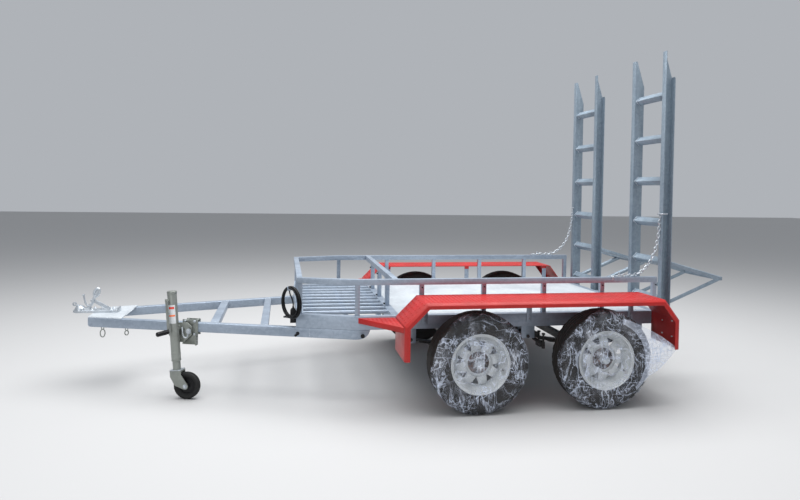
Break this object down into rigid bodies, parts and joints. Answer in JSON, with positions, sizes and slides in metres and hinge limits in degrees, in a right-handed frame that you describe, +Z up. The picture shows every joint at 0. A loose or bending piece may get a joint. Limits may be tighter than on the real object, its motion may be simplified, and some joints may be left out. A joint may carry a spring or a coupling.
{
  "type": "tandem-axle plant trailer",
  "caption": "Open galvanised plant trailer with an A-frame drawbar, side rails, red tread-plate mudguards, a swing-up jockey wheel and upright loading ramps.",
  "frame": {"origin": "on the ground under the middle of the trailer's overall length and width", "axes": "+X to the rear, +Y to the trailer's right, +Z up; the drawbar points to -X"},
  "size_m": [4.67, 2.23, 2.45],
  "materials": {
    "galvanised": "hot-dip galvanised steel, pale grey with a faint spangle",
    "red_paint": "red enamel over tread plate",
    "black_steel": "black chassis paint, satin",
    "tyre_rubber": "dull brown-black rubber",
    "wheel_paint": "off-white wheel enamel",
    "zinc": "grey-green zinc plating",
    "bright_zinc": "bright zinc plating",
    "black_plastic": "black PVC and moulded plastic",
    "lamp_red": "red lamp lens",
    "clear_film": "thin clear wrapping film"
  },
  "bodies": {
    "chassis": {"chassis_rail_left": "galvanised", "chassis_rail_right": "galvanised", "front_crossmember": "galvanised", "rear_crossmember": "galvanised", "floor_frame": "galvanised", "floor_plate": "galvanised", "front_grille": "galvanised", "side_rail_left": "galvanised", "side_rail_right": "galvanised", "front_rail": "galvanised", "headboard": "galvanised", "drawbar_rail_left": "galvanised", "drawbar_rail_right": "galvanised", "drawbar_crossmember_front": "galvanised", "drawbar_crossmember_rear": "galvanised", "nose_plate": "galvanised", "coupling_body": "bright_zinc", "coupling_lever": "bright_zinc", "mudguard_left": "red_paint", "mudguard_right": "red_paint", "side_step_left": "red_paint", "side_step_right": "red_paint", "tail_lamp_left": "lamp_red", "tail_lamp_right": "lamp_red", "leaf_spring_front_left": "black_steel", "leaf_spring_front_right": "black_steel", "leaf_spring_rear_left": "black_steel", "leaf_spring_rear_right": "black_steel", "rocker_left": "black_steel", "rocker_right": "black_steel", "axle_front": "black_steel", "axle_rear": "black_steel", "jockey_bracket": "zinc", "lead_gland": "black_plastic", "lead_coil": "black_plastic", "lead_tube": "black_plastic", "lead_tail": "black_plastic", "lead_plug": "black_plastic"},
    "wheel_front_left": {"tyre_front_left": "tyre_rubber", "rim_front_left": "wheel_paint", "hub_front_left": "black_steel"},
    "wheel_front_right": {"tyre_front_right": "tyre_rubber", "rim_front_right": "wheel_paint", "hub_front_right": "black_steel"},
    "wheel_rear_left": {"tyre_rear_left": "tyre_rubber", "rim_rear_left": "wheel_paint", "hub_rear_left": "black_steel"},
    "wheel_rear_right": {"tyre_rear_right": "tyre_rubber", "rim_rear_right": "wheel_paint", "hub_rear_right": "black_steel"},
    "jockey_swing_arm": {"jockey_tube": "zinc", "jockey_crank": "black_plastic"},
    "jockey_inner_leg": {"jockey_leg": "zinc"},
    "jockey_swivel_fork": {"jockey_fork": "zinc"},
    "jockey_road_wheel": {"jockey_wheel": "tyre_rubber"},
    "ramp_left": {"ramp_ladder_left": "galvanised", "ramp_prop_left": "galvanised"},
    "ramp_right": {"ramp_ladder_right": "galvanised", "ramp_prop_right": "galvanised"}
  },
  "joints": [
    {"name": "wheel_front_left_spin", "type": "hinge", "parent": "chassis", "child": "wheel_front_left", "pos_m": [0.399, -0.987, 0.325], "axis": [0, 1, 0], "continuous": true},
    {"name": "wheel_front_right_spin", "type": "hinge", "parent": "chassis", "child": "wheel_front_right", "pos_m": [0.399, 0.987, 0.325], "axis": [0, 1, 0], "continuous": true},
    {"name": "wheel_rear_left_spin", "type": "hinge", "parent": "chassis", "child": "wheel_rear_left", "pos_m": [1.259, -0.987, 0.325], "axis": [0, 1, 0], "continuous": true},
    {"name": "wheel_rear_right_spin", "type": "hinge", "parent": "chassis", "child": "wheel_rear_right", "pos_m": [1.259, 0.987, 0.325], "axis": [0, 1, 0], "continuous": true},
    {"name": "jockey_swing", "type": "hinge", "parent": "chassis", "child": "jockey_swing_arm", "pos_m": [-1.453, -0.41974, 0.45], "axis": [0.3125, 0.9499, 0], "range_deg": [0, 90]},
    {"name": "jockey_extend", "type": "slide", "parent": "jockey_swing_arm", "child": "jockey_inner_leg", "axis": [0.0745, -0.0245, -0.9969], "range_m": [-0.05, 0.18]},
    {"name": "jockey_swivel", "type": "hinge", "parent": "jockey_inner_leg", "child": "jockey_swivel_fork", "pos_m": [-1.52549, -0.46221, 0], "axis": [-0.0745, 0.0245, 0.9969], "continuous": true},
    {"name": "jockey_wheel_spin", "type": "hinge", "parent": "jockey_swivel_fork", "child": "jockey_road_wheel", "pos_m": [-1.47028, -0.48037, 0.09], "axis": [0.3125, 0.9499, 0], "continuous": true},
    {"name": "ramp_left_hinge", "type": "hinge", "parent": "chassis", "child": "ramp_left", "pos_m": [1.877, -0.517, 0.545], "axis": [0, 1, 0], "range_deg": [0, 107]},
    {"name": "ramp_right_hinge", "type": "hinge", "parent": "chassis", "child": "ramp_right", "pos_m": [1.877, 0.517, 0.545], "axis": [0, 1, 0], "range_deg": [0, 107]}
  ]
}
